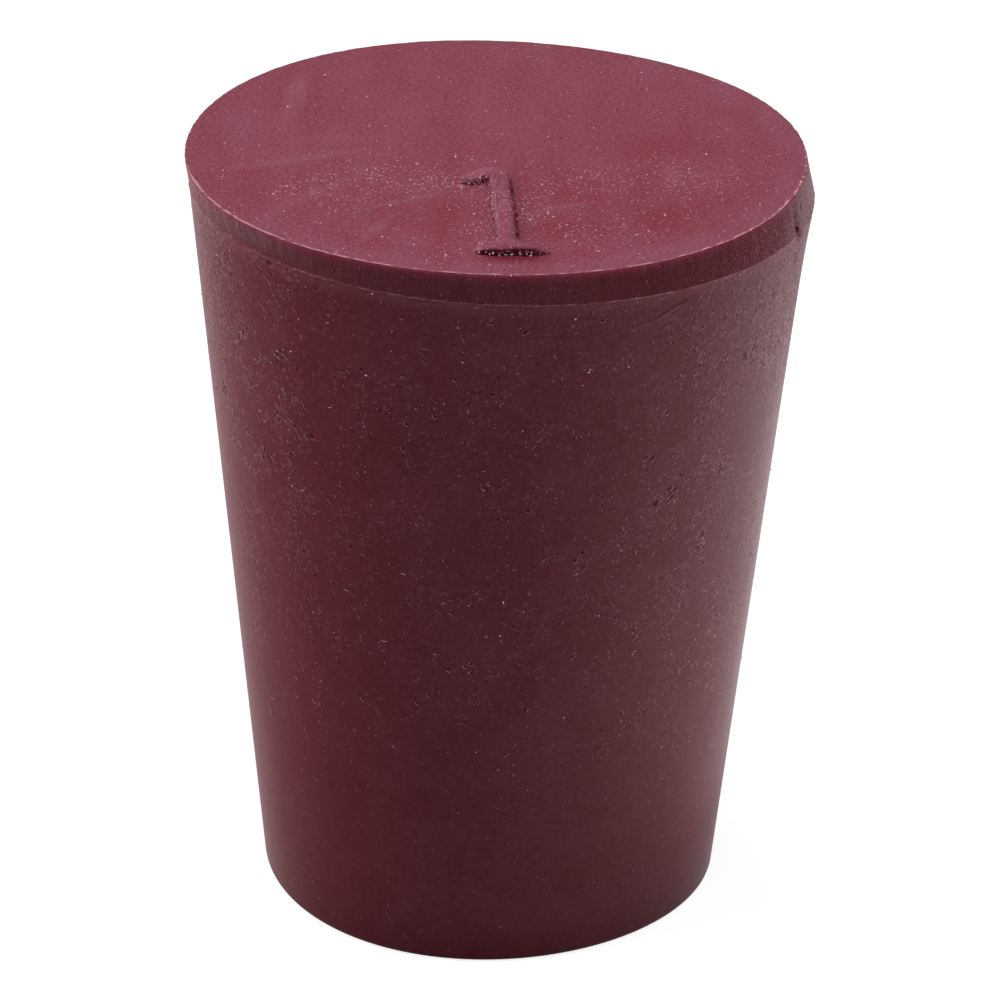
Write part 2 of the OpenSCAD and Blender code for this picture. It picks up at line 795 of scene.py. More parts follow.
    def scuffs(self, bench: Bench, rough: Socket) -> tuple[Socket, Socket, Socket]:
        """Slanting pits, each with a painted highlight on the lip below it, and the fine grain that runs
        with them.

        Args:
            bench: The material's node tree.
            rough: How scuffed the skin is.

        Returns:
            The pits, the painted highlights on their lips and the grain.
        """
        apart = bench.vector("MULTIPLY_ADD", bench.vector("SIGN", bench.place), (13.0, 29.0, 0.0),
                             bench.vector("ABSOLUTE", bench.place))
        ragged = bench.warped(apart, 11.0, 0.12)
        groups = bench.grain(bench.stretch((1.0, 1.0, 1.0), (5.0, 1.0, 9.0)), 0.9, 2.0)
        wide = bench.off_centre(0.35, 0.82, 0.34, 1.0)
        groups = bench.mul(rough, wide, bench.step(groups, 0.46, 0.62, 0.06, 0.90))
        near = bench.marks(bench.warped(bench.place, 3.0, 0.3), self.clusters, 0.65)
        small = bench.pitted(bench.fitted(ragged, self.slant(0.075, 0.075, 0.040)), 2.0, groups)
        large = bench.pitted(bench.fitted(ragged, self.slant(0.130, 0.130, 0.060)), 1.55, near)
        fine = bench.grain(bench.fitted(apart, self.slant(0.085, 0.125, 0.080)), 1.0, 3.0, 0.7)
        return (*(bench.math("MAXIMUM", *pair) for pair in zip(small, large)), fine)

    def slant(self, deep: float, long: float, wide: float) -> Mark:
        """The frame of a scuff, which leans as the plug was drawn from its mould."""
        return Mark((0.0, 0.0, 0.0), (math.radians(-50.0), 0.0, math.radians(35.0)), (deep, long, wide))

    def flecks(self, bench: Bench, rough: Socket) -> Socket:
        """Fine pale dust, thickest where the skin is scuffed.

        Args:
            bench: The material's node tree.
            rough: How scuffed the skin is.

        Returns:
            1 in a fleck, 0 elsewhere.
        """
        share = bench.math("MULTIPLY_ADD", rough, 0.80, 0.010)
        fine = bench.specks(bench.place, 0.080, 0.040, share)
        shifted = bench.stretch((1.0, 1.0, 1.0), (7.3, 2.1, 4.4))
        large = bench.specks(shifted, 0.19, 0.048, bench.mul(share, 0.38))
        fine = bench.mul(fine, bench.step(bench.side(), 0.45, 0.80, 0.42, 0.74))
        return bench.math("MAXIMUM", fine, large)


@dataclass(frozen=True)
class BandFinish:
    """Knife-cut rubber: browner and darker than the skin, with fine upright scratches."""

    name: str = "knife_cut_band"
    deep: Colour = (0.135, 0.0260, 0.0360)
    dull: Colour = (0.235, 0.0560, 0.0740)
    # painted red glow below the rim, where light would shine through the thin edge
    rim_glow: Colour = (0.335, 0.0530, 0.0840)
    # dark red of the pits, also used to paint shade in the nicks
    pit_and_shade: Colour = (0.085, 0.0050, 0.0120)
    # painted sheen at the band's right edge
    painted_sheen: Colour = (0.320, 0.180, 0.200)
    fleck: Colour = (0.46, 0.30, 0.33)
    roughness: float = 0.5
    shine: float = 0.03
    nicks: tuple[Mark, ...] = (
        on_flank(339.6, 20.12, 0.16, 0.15, 0.0, 1.0),
        on_flank(343.2, 20.62, 0.16, 0.07, 60.0, 0.7),
        on_flank(224.6, 20.14, 0.09, 0.07, 0.0, 0.9),
    )

    def build(self) -> bpy.types.Material:
        """Make the material.

        Returns:
            The material.
        """
        bench = Bench(self.name)
        place = bench.place
        scratch = bench.grain(bench.stretch((1.0, 1.0, 0.10)), 9.0, 3.0, 0.7)
        tone = self.cut(bench, scratch)
        mottle = bench.grain(place, 15.0, 2.0, 0.7)
        some = bench.off_centre(0.55, 0.90, 0.12, 0.55)
        tone = bench.blend(bench.mul(bench.step(mottle, 0.50, 0.68), some, 0.6), tone, self.fleck)
        tone = bench.blend(bench.mul(bench.step(mottle, 0.50, 0.34), some), tone, self.pit_and_shade)
        # painted shade in the nicks
        nick = bench.marks(bench.warped(place, 9.0, 0.16), self.nicks, 0.7)
        tone = bench.blend(nick, tone, self.pit_and_shade)
        groups = bench.grain(bench.stretch((1.0, 1.0, 1.0), (2.0, 7.0, 1.0)), 1.6, 2.0, 0.6)
        grit = bench.specks(place, 0.10, 0.033, bench.step(groups, 0.42, 0.66, 0.06, 0.70))
        tone = bench.blend(bench.mul(grit, 0.52), tone, self.fleck)
        # painted red glow in a ragged line just under the rim
        ragged = bench.math("MULTIPLY_ADD", bench.grain(place, 6.0, 4.0, 0.7), 0.14, bench.axis("Z"))
        inner = bench.off_centre(0.85, 0.50, 0.30, 0.80)
        tone = bench.blend(bench.mul(bench.step(ragged, 20.985, 21.030), inner), tone, self.rim_glow)
        level = bench.add(bench.mul(scratch, 0.8), bench.mul(grit, 0.4))
        bench.feed(bench.shader.inputs["Normal"], bench.relief(level, 0.016))
        return bench.finished(tone, self.roughness, self.shine)

    def cut(self, bench: Bench, scratch: Socket) -> Socket:
        """Colour of the cut: dull at both sides, with a painted sheen at its right edge and a painted red
        glow towards the rim.

        Args:
            bench: The material's node tree.
            scratch: The upright scratches, from 0 to 1.

        Returns:
            The colour.
        """
        side, level = bench.side(), bench.axis("Z")
        cloud = bench.grain(bench.place, 0.8, 3.0, 0.6)
        share = bench.add(bench.mul(cloud, 0.8), bench.mul(scratch, 0.8), -0.45)
        share = bench.add(share, bench.step(side, -0.2, -0.7, 0.0, 0.55))
        share = bench.add(share, bench.step(side, 0.20, 0.50, 0.0, -0.35))
        share = bench.math("ADD", share, bench.step(side, 0.68, 0.84, 0.0, 0.40), clamp=True)
        tone = bench.blend(share, self.deep, self.dull)
        # painted sheen at the band's right edge
        tone = bench.blend(bench.step(side, 0.85, 0.98, 0.0, 0.88), tone, self.painted_sheen)
        # painted red glow towards the rim, strongest at the left
        upper = bench.step(level, 20.70, 20.96, 0.0, 0.50)
        upper = bench.mul(upper, bench.step(side, -0.25, -0.65, 1.0, 1.8))
        upper = bench.mul(upper, bench.step(scratch, 0.3, 0.6, 0.7, 1.1))
        upper = bench.mul(upper, bench.step(side, 0.35, 0.70, 1.0, 0.40))
        tone = bench.blend(upper, tone, self.rim_glow)
        paler = bench.mul(bench.step(side, -0.50, -0.80, 0.0, 0.17), bench.step(level, 20.3, 20.7))
        return bench.blend(paler, tone, self.fleck)


@dataclass(frozen=True)
class FaceFinish:
    """Skin of the wide face: redder where it was rubbed, greyer where the bloom lies."""

    name: str = "wide_face_skin"
    deep: Colour = (0.212, 0.0295, 0.0475)
    dull: Colour = (0.250, 0.0640, 0.0980)
    wiped: Colour = (0.300, 0.1250, 0.1600)
    # painted highlight along the burr on the rim
    burr: Colour = (0.60, 0.29, 0.34)
    grit_pale: Colour = (0.62, 0.36, 0.40)
    # painted shade in the hollows of the fine grain
    grit_shade: Colour = (0.13, 0.014, 0.026)
    shade: Colour = (0.062, 0.0060, 0.0130)
    # deep red painted shade, for steep walls and the shadow in front of the foot serif
    wall_shade: Colour = (0.155, 0.0110, 0.0250)
    dusty: Colour = (0.200, 0.078, 0.094)
    roughness: float = 0.5
    shine: float = 0.03
    rubbed: tuple[Mark, ...] = (
        on_face(2.6, -3.0, 4.2, 2.8, -12.0, 0.75),
        on_face(4.2, -4.0, 2.2, 1.6, 30.0, 0.8),
        on_face(1.6, -5.0, 2.0, 1.4, 0.0, 1.0),
        on_face(-1.6, -4.4, 2.2, 2.0, 70.0, 0.7),
        on_face(-3.4, -6.3, 1.8, 0.8, -25.0, 0.5),
        on_face(4.6, 0.4, 3.4, 1.6, 0.0, 0.3),
    )
    wipes: tuple[Mark, ...] = (
        on_face(-5.6, 3.6, 0.42, 2.6, -3.0, 0.9),
        on_face(-5.3, -0.9, 2.6, 0.40, 24.0, 0.7),
        on_face(-4.6, -3.0, 2.8, 0.45, 52.0, 0.5),
        on_face(-2.4, -3.5, 1.6, 0.20, 32.0, 0.8),
        on_face(-3.1, -5.4, 1.6, 0.26, 66.0, 0.7),
        on_face(1.6, -3.7, 1.4, 0.17, 26.0, 0.8),
        on_face(4.4, -1.2, 1.1, 0.30, 100.0, 0.6),
    )
    drifts: tuple[Mark, ...] = (
        on_face(-2.2, -2.2, 1.7, 1.3, 0.0, 1.0),
        on_face(-4.2, -2.7, 2.4, 1.6, 20.0, 0.70),
        on_face(-0.9, -2.5, 0.8, 0.7, 0.0, 1.0),
        on_face(0.9, -3.6, 0.7, 2.4, 0.0, 0.85),
        on_face(-0.6, -5.2, 0.7, 1.5, 0.0, 0.70),
        on_face(2.4, -1.8, 2.2, 1.3, 0.0, 0.45),
        on_face(4.8, -1.6, 2.4, 1.8, 0.0, 0.40),
        on_face(2.4, -5.4, 2.0, 1.6, 0.0, 0.30),
        on_face(-1.2, -6.8, 1.3, 0.7, 0.0, 0.55),
    )
    serif_shadow: tuple[Mark, ...] = (on_face(0.35, -7.12, 1.25, 0.46, 0.0, 0.75),)

    def build(self) -> bpy.types.Material:
        """Make the material.

        Returns:
            The material.
        """
        bench = Bench(self.name)
        bloom = self.bloomed(bench)
        tone = bench.blend(bloom, self.deep, self.dull)
        fine = bench.grain(bench.place, 10.0, 3.0, 0.7)
        # painted shade in the hollows of the fine grain
        tone = bench.blend(bench.step(fine, 0.47, 0.35, 0.0, 0.60), tone, self.grit_shade)
        tone = bench.blend(bench.step(fine, 0.50, 0.72, 0.0, 0.16), tone, self.grit_pale)
        wipes = bench.marks(bench.warped(bench.place, 2.0, 0.20), self.wipes, 0.15)
        streaks = bench.grain(bench.stretch((2.2, 0.4, 1.0)), 2.0, 3.0, 0.7)
        wipes = bench.mul(wipes, bench.step(streaks, 0.25, 0.70, 0.35, 1.0))
        tone = bench.blend(bench.mul(wipes, 0.55), tone, self.wiped)
        shadow = bench.marks(bench.place, self.serif_shadow, 0.0)
        # painted shadow in front of the foot serif, then painted shade on the steep walls
        tone = self.walls(bench, bench.blend(shadow, tone, self.wall_shade))
        pale = self.dusted(bench)
        tone = bench.blend(bench.mul(pale, 0.80), tone, self.grit_pale)
        # painted highlight along the burr on the rim
        raised = bench.step(bench.axis("Z"), 21.001, 21.008, 0.0, 0.80)
        tone = bench.blend(bench.mul(raised, bench.step(self.out(bench), 7.5, 7.7)), tone, self.burr)
        level = bench.add(bench.mul(fine, 0.8), bench.mul(pale, 0.5))
        bench.feed(bench.shader.inputs["Normal"], bench.relief(level, 0.016))
        return bench.finished(tone, self.roughness, self.shine)

    def dusted(self, bench: Bench) -> Socket:
        """Fine pale dust, which has drifted thickest round the numeral.

        Args:
            bench: The material's node tree.

        Returns:
            Up to 1 in a fleck, 0 elsewhere.
        """
        drifts = bench.marks(bench.warped(bench.place, 1.5, 0.6), self.drifts, 0.2)
        clumps = bench.grain(bench.place, 1.6, 3.0, 0.7)
        front = bench.step(bench.axis("Y"), 1.0, -1.0, 0.03, 0.10)
        raised = bench.step(bench.axis("Z"), 21.06, 21.12, 0.0, 0.30)
        share = bench.mul(bench.add(drifts, front, raised), bench.step(clumps, 0.36, 0.66, 0.2, 1.0))
        fine = bench.specks(bench.stretch((1.0, 0.6, 1.0)), 0.075, 0.040, bench.mul(share, 1.8))
        shifted = bench.stretch((1.0, 0.6, 1.0), (3.1, 8.2, 5.0))
        large = bench.specks(shifted, 0.16, 0.050, bench.mul(share, 0.4))
        return bench.math("MAXIMUM", bench.mul(fine, 0.50), large)

    def out(self, bench: Bench) -> Socket:
        """Distance from the middle of the rim, which is a little off the axis."""
        return bench.vector("LENGTH", bench.stretch((1.0, 1.0, 0.0), (RIM_SHIFT, 0.0, 0.0)))

    def bloomed(self, bench: Bench) -> Socket:
        """Share of the grey bloom over the face.

        Args:
            bench: The material's node tree.

        Returns:
            The share.
        """
        cloud = bench.grain(bench.place, 0.45, 4.0, 0.6, 0.4)
        streaks = bench.grain(bench.stretch((1.0, 0.16, 1.0)), 1.1, 3.0, 0.6)
        ragged = bench.warped(bench.place, 1.2, 0.5)
        rubbed = bench.marks(ragged, self.rubbed, 0.0)
        rim = bench.step(self.out(bench), 7.15, 7.75)
        right_front = bench.add(bench.mul(bench.axis("X"), 0.7), bench.mul(bench.axis("Y"), -0.7))
        raised = bench.step(bench.axis("Z"), 21.02, 21.08, 0.0, 0.45)
        share = bench.add(
            cloud,
            bench.math("MULTIPLY_ADD", streaks, 1.2, -0.60),
            bench.mul(rubbed, -0.50),
            # paler along the rim at the front right
            bench.mul(rim, bench.step(right_front, -4.0, 5.0), 0.45),
        )
        return bench.math("ADD", share, raised, clamp=True)

    def walls(self, bench: Bench, tone: Socket) -> Socket:
        """Paint shade on steep walls: near black to the front and deep red elsewhere, and dusty on their
        left.

        Args:
            bench: The material's node tree.
            tone: The colour so far.

        Returns:
            The new colour.
        """
        facing = bench.nodes.new("ShaderNodeNewGeometry")
        split = bench.nodes.new("ShaderNodeSeparateXYZ")
        bench.links.new(facing.outputs["Normal"], split.inputs["Vector"])
        mottle = bench.grain(bench.place, 9.0, 3.0, 0.7)
        ragged = bench.math("MULTIPLY_ADD", mottle, 0.9, split.outputs["Z"])
        steep = bench.step(ragged, 1.25, 0.85)
        steep = bench.mul(steep, bench.step(split.outputs["Y"], 0.45, 0.15))
        left = bench.step(split.outputs["X"], -0.15, -0.5)
        front = bench.step(split.outputs["Y"], -0.25, -0.6)
        dusty = bench.mul(bench.step(mottle, 0.42, 0.56, 0.15, 0.75), left)
        shade = bench.blend(dusty, self.wall_shade, self.dusty)
        front = bench.mul(front, bench.step(bench.axis("Z"), 21.0, 21.07, 0.25, 1.0))
        shade = bench.blend(front, shade, self.shade)
        return bench.blend(bench.mul(steep, 0.92), tone, shade)


@dataclass(frozen=True)
class DustFinish:
    """Pale mineral dust."""

    name: str = "pale_dust"
    pale: Colour = (0.80, 0.64, 0.65)
    stained: Colour = (0.46, 0.26, 0.30)
    roughness: float = 0.9
    shine: float = 0.2

    def build(self) -> bpy.types.Material:
        """Make the material.

        Returns:
            The material.
        """
        bench = Bench(self.name)
        shade = bench.step(bench.grain(bench.place, 3.0, 2.0), 0.35, 0.62)
        tone = bench.blend(shade, self.pale, self.stained)
        return bench.finished(tone, self.roughness, self.shine)


# ---------------------------------------------------------------- the plug


class Zone(Enum):
    """Surfaces of the plug, in the order of its material slots."""

    FLANK = 0
    BAND = 1
    FACE = 2
    BASE = 3


@dataclass(frozen=True)
class Row:
    """One point of the half section, with its surface and its share along it."""

    reach: float
    height: float
    zone: Zone
    share: float = 0.0


@dataclass(frozen=True)
class Nick:
    """A small hollow in the side: its bearing in degrees, its height, half sizes and depth."""

    angle: float
    height: float
    wide: float
    tall: float
    deep: float

    def at(self, angle: float, level: float) -> float:
        """Depth of the hollow at a place.

        Args:
            angle: Angle round the axis, in radians.
            level: Height over the base.

        Returns:
            The depth, in millimetres.
        """
        turn = math.remainder(angle - math.radians(self.angle), 2.0 * math.pi)
        across = turn * NOMINAL.shoulder_radius / self.wide
        away = across**2 + ((level - self.height) / self.tall) ** 2
        return self.deep * math.exp(-away) if away < 9.0 else 0.0


@dataclass(frozen=True)
class Lap:
    """The lap under the band, where the rubber folded over itself in the mould."""

    start: float = 292.0  # bearing of its low end, in degrees
    span: float = 14.5  # how many degrees it runs on
    low_end: float = 19.19
    climb: float = 0.66
    sag: float = 0.40  # how far its line sags on the way up
    fold_deep: float = 0.065
    fold_wide: float = 0.050
    rise: float = 0.045  # how far the lap stands out below the fold
    apron: float = 0.30  # how far down it reaches
    waver: Ripple = Ripple(300.0, 6.1, 0.012)

    def at(self, angle: float, height: float) -> float:
        """Rise of the skin at the lap.

        Args:
            angle: Angle round the axis, in radians.
            height: Height over the base.

        Returns:
            The rise, which is below 0 in the fold itself.
        """
        along = (math.degrees(angle) % 360.0 - self.start) / self.span
        if not 0.0 < along < 1.0:
            return 0.0
        line = self.low_end + self.climb * along - self.sag * along * (1.0 - along)
        away = height - line - self.waver.at(angle)
        fold = -self.fold_deep * math.exp(-((away / self.fold_wide) ** 2)) * smooth(0.15, 0.7, along)
        lap = self.rise * smooth(-self.apron, -self.fold_wide, away)
        lap *= 1.0 - smooth(-self.fold_wide, 0.01, away)
        return (fold + lap) * smooth(0.0, 0.2, along) * (1.0 - smooth(0.85, 1.0, along))


@dataclass
class Plug:
    """The moulded plug with its knife-cut band, laid out on the nominal form."""

    nominal: Taper = NOMINAL
    sides: int = 1024  # points round the axis
    rim_mean: float = 8.221
    rim_waves: tuple[Wave, ...] = (
        Wave(1, RIM_SHIFT, 180.0),
        Wave(2, 0.026, 204.0),
        Wave(3, 0.031, 44.0),
        Wave(4, 0.047, 133.0),
    )
    foot_waves: tuple[Wave, ...] = (Wave(2, 0.042, 257.0), Wave(3, 0.100, 1.0))
    band_mean: float = 0.80
    band_waves: tuple[Wave, ...] = (Wave(1, CUT_LEAN, 0.0),)
    band_jags: tuple[Ripple, ...] = (Ripple(160.0, 3.1, 0.012), Ripple(420.0, 5.7, 0.008))
    left_jags: float = 1.8  # how much rougher the cut is at the left
    bulge: float = 0.07  # how far the skin swells out under the band at the right
    bulge_top: float = 20.1
    bulge_fall: float = 2.2  # how fast that fades downwards
    follow_from: float = 17.0  # from here up, the rows follow the lean of the cut more and more
    follow_to: float = 20.1
    nicks_from: float = 18.3  # below this, no nick and no lap
    lap: Lap = Lap()
    ridge_mean: float = 0.010  # the ridge that the cut pushed up under the band
    ridge_rag: Ripple = Ripple(200.0, 1.7, 0.014)
    cut_rag: Ripple = Ripple(200.0, 11.0, 0.007)
    rim_rags: tuple[Ripple, ...] = (Ripple(230.0, 9.3, 0.011), Ripple(600.0, 2.9, 0.008))
    burr_base: Ripple = Ripple(240.0, 4.4, 0.012)
    burr_bare: float = 0.003  # taken off the low burr, so that the rim is bare in places
    burr_mean: float = 0.008
    burr_rags: tuple[Ripple, ...] = (Ripple(330.0, 7.7, 0.022), Ripple(900.0, 1.2, 0.014))
    burr_least: float = 0.08  # share of the tall burr that is left all round
    burrs: tuple[Stretch, ...] = (
        Stretch(192.0, 204.0, 238.0, 258.0),
        Stretch(300.0, 322.0, 346.0, 356.0, 0.7),
    )
    burr_wide: float = 0.085
    burr_waver: Ripple = Ripple(300.0, 8.8, 0.035)
    lip_mean: float = 0.0030  # the soft lip along the front
    lip_rag: Ripple = Ripple(170.0, 5.2, 0.0022)
    base_rings: tuple[float, ...] = (0.0, 2.0, 4.0, 5.2, 5.8)
    edge_steps: int = 5
    # up to which height the rows of the flank lie how far apart
    flank_strides: tuple[tuple[float, float], ...] = ((15.0, 2.4), (18.4, 0.5), (20.06, 0.06))
    flank_top: float = 20.07
    # heights of the ridge's rows, with their shares of its rise
    ridge: tuple[tuple[float, float], ...] = ((20.12, 0.35), (20.15, 1.0), (20.17, 0.9))
    band_steps: int = 10
    # how far the rings of the wide face lie in from its rim
    face_insets: tuple[float, ...] = (0.012, 0.035, 0.065, 0.10, 0.15, 0.25, 0.45, 0.8, 1.4, 2.4, 4.0, 6.0)
    cut_nicks: tuple[Nick, ...] = (
        Nick(225.0, 20.10, 0.085, 0.060, 0.090),
        Nick(223.2, 20.16, 0.060, 0.050, 0.050),
        Nick(339.6, 20.07, 0.110, 0.110, 0.150),
    )
    skin_nicks: tuple[Nick, ...] = (
        Nick(340.3, 19.96, 0.170, 0.055, 0.110),
        Nick(340.5, 19.30, 0.080, 0.130, 0.050),
        Nick(331.0, 18.78, 0.060, 0.090, 0.040),
        Nick(324.0, 19.40, 0.055, 0.055, 0.040),
        Nick(236.5, 19.90, 0.070, 0.045, 0.040),
    )
    rows: list[Row] = field(default_factory=list)

    def lay_rows(self) -> None:
        """List the half section's points from the centre of the base to the centre of the face."""
        form = self.nominal
        slope = math.atan2(form.shoulder_radius - form.foot_radius, form.shoulder_height)
        edge = form.edge_radius
        middle = form.foot_radius - edge * (1.0 - math.sin(slope)) / math.cos(slope)
        rows = [Row(reach, 0.0, Zone.BASE) for reach in (*self.base_rings, middle)]
        for count in range(1, self.edge_steps + 1):
            turn = -math.pi / 2 + (math.pi / 2 - slope) * count / self.edge_steps
            rows.append(Row(middle + edge * math.cos(turn), edge + edge * math.sin(turn), Zone.FLANK))
        level = rows[-1].height
        for below, stride in self.flank_strides:
            while level < below:
                level = min(level + stride, self.flank_top)
                rows.append(Row(form.radius(level), level, Zone.FLANK))
        rows += [Row(form.radius(level), level, Zone.FLANK, share) for level, share in self.ridge]
        for count in range(self.band_steps + 1):
            share = count / self.band_steps
            reach = form.shoulder_radius + (form.rim_radius - form.shoulder_radius) * share
            level = form.shoulder_height + (form.height - form.shoulder_height) * share
            rows.append(Row(reach, level, Zone.BAND, share))
        insets = (*self.face_insets, form.rim_radius)
        rows += [Row(form.rim_radius - inset, form.height, Zone.FACE, inset) for inset in insets]
        self.rows = rows

    def lower_edge(self, angle: float) -> float:
        """Height of the band's lower edge.

        Args:
            angle: Angle round the axis, in radians.

        Returns:
            The height over the base.
        """
        jag = swell(self.band_jags, angle)
        jag *= 1.0 + self.left_jags * max(0.0, -math.cos(angle)) ** 2
        slip = sum(nick.at(angle, nick.height) for nick in self.cut_nicks)
        return self.nominal.height - self.band_mean - swell(self.band_waves, angle) + jag - 0.5 * slip

    def flank_at(self, angle: float, height: float) -> float:
        """True radius of the flank.

        Args:
            angle: Angle round the axis, in radians.
            height: Height over the base.

        Returns:
            The radius.
        """
        fade = 1.0 - height / self.nominal.shoulder_height
        radius = self.nominal.radius(height) + swell(self.foot_waves, angle) * fade
        lean = (0.5 + 0.5 * math.cos(angle)) ** 2
        drop = max(0.0, self.bulge_top - height)
        radius += self.bulge * lean / (1.0 + drop**self.bulge_fall)
        if height > self.nicks_from:
            nicks = self.cut_nicks + self.skin_nicks
            radius += self.lap.at(angle, height) - sum(nick.at(angle, height) for nick in nicks)
        return radius

    def rim_at(self, angle: float) -> float:
        """True radius of the rim at an angle."""
        return self.rim_mean + swell(self.rim_waves, angle) + swell(self.rim_rags, angle)

    def burr_at(self, angle: float) -> float:
        """Height of the burr that the knife left on the rim.

        Args:
            angle: Angle round the axis, in radians.

        Returns:
            The height over the face.
        """
        share = sum((stretch.at(angle) for stretch in self.burrs), self.burr_least)
        rough = sum((rag.at(angle) for rag in self.burr_rags), self.burr_mean)
        base = self.burr_base.at(angle) - self.burr_bare
        return max(0.0, base) + share * max(0.0, rough)

    def lip_at(self, angle: float) -> float:
        """Height of the soft lip that the cut left along the front of the rim."""
        return (self.lip_mean + self.lip_rag.at(angle)) * smooth(-0.1, 0.4, -math.sin(angle))

    def settle(self, row: Row, angle: float) -> tuple[float, float]:
        """Where a point of the section goes at an angle.

        Args:
            row: The point of the half section.
            angle: Angle round the axis, in radians.

        Returns:
            Its true radius and height.
        """
        form = self.nominal
        low = self.lower_edge(angle)
        if row.zone in (Zone.BASE, Zone.FLANK):
            shift = (low - form.shoulder_height) * smooth(self.follow_from, self.follow_to, row.height)
            level = row.height + shift
            ridge = max(0.0, self.ridge_mean + self.ridge_rag.at(angle)) * row.share
            if row.height < 2.0 * form.edge_radius:
                fade = row.reach / form.foot_radius
                return row.reach + swell(self.foot_waves, angle) * fade, level
            return self.flank_at(angle, level) + ridge, level
        rim = self.rim_at(angle)
        if row.zone is Zone.BAND:
            start = self.flank_at(angle, low)
            level = low + (form.height - self.face_insets[0] - low) * row.share
            rag = replace(self.cut_rag, seed=self.cut_rag.seed + 0.5 * row.share).at(angle)
            return start + (rim - start) * row.share + rag * math.sin(math.pi * row.share), level
        inset = row.share
        spread = (rim - form.rim_radius) * smooth(0.0, 1.0, (form.rim_radius - inset) / form.rim_radius)
        wide = self.burr_wide + self.burr_waver.at(angle)
        rise = self.burr_at(angle) * (1.0 - smooth(0.025, wide, inset))
        rise += self.lip_at(angle) * (1.0 - smooth(0.05, 0.15, inset))
        return form.rim_radius - inset + spread, form.height + rise

    def build(self) -> bpy.types.Object:
        """Roll a sheet of the section's rows round the axis, in its true form, and dress it.

        Returns:
            The plug.
        """
        self.lay_rows()
        last = len(self.rows) - 1
        form = bmesh.new()
        spread = Matrix.Diagonal((self.sides / 2, last / 2, 1.0, 1.0))
        shift = Matrix.Translation((self.sides / 2, last / 2, 0.0))
        bmesh.ops.create_grid(
            form, x_segments=self.sides, y_segments=last, size=1.0, matrix=shift @ spread
        )
        for face in form.faces:
            face.material_index = self.zone_of(round(face.calc_center_median().y - 0.5)).value
        for vert in form.verts:
            row = self.rows[round(vert.co.y)]
            angle = 2.0 * math.pi * (round(vert.co.x) % self.sides) / self.sides
            reach, level = self.settle(row, angle) if row.reach else (0.0, row.height)
            vert.co = Vector((reach * math.cos(angle), reach * math.sin(angle), level))
        bmesh.ops.remove_doubles(form, verts=form.verts, dist=1e-6)
        bmesh.ops.recalc_face_normals(form, faces=form.faces)
        plug = finish_mesh(form, "plug")
        skin = FlankFinish().build()
        for finish in (skin, BandFinish().build(), FaceFinish().build(), skin):
            plug.data.materials.append(finish)
        return plug

    def zone_of(self, strip: int) -> Zone:
        """Surface that a strip of faces belongs to.

        Args:
            strip: The row that the strip starts from.

        Returns:
            The surface.
        """
        start, end = self.rows[strip].zone, self.rows[strip + 1].zone
        if start is Zone.BASE:
            return Zone.BASE
        return Zone.FLANK if start is Zone.FLANK else end


# ---------------------------------------------------------------- the numeral


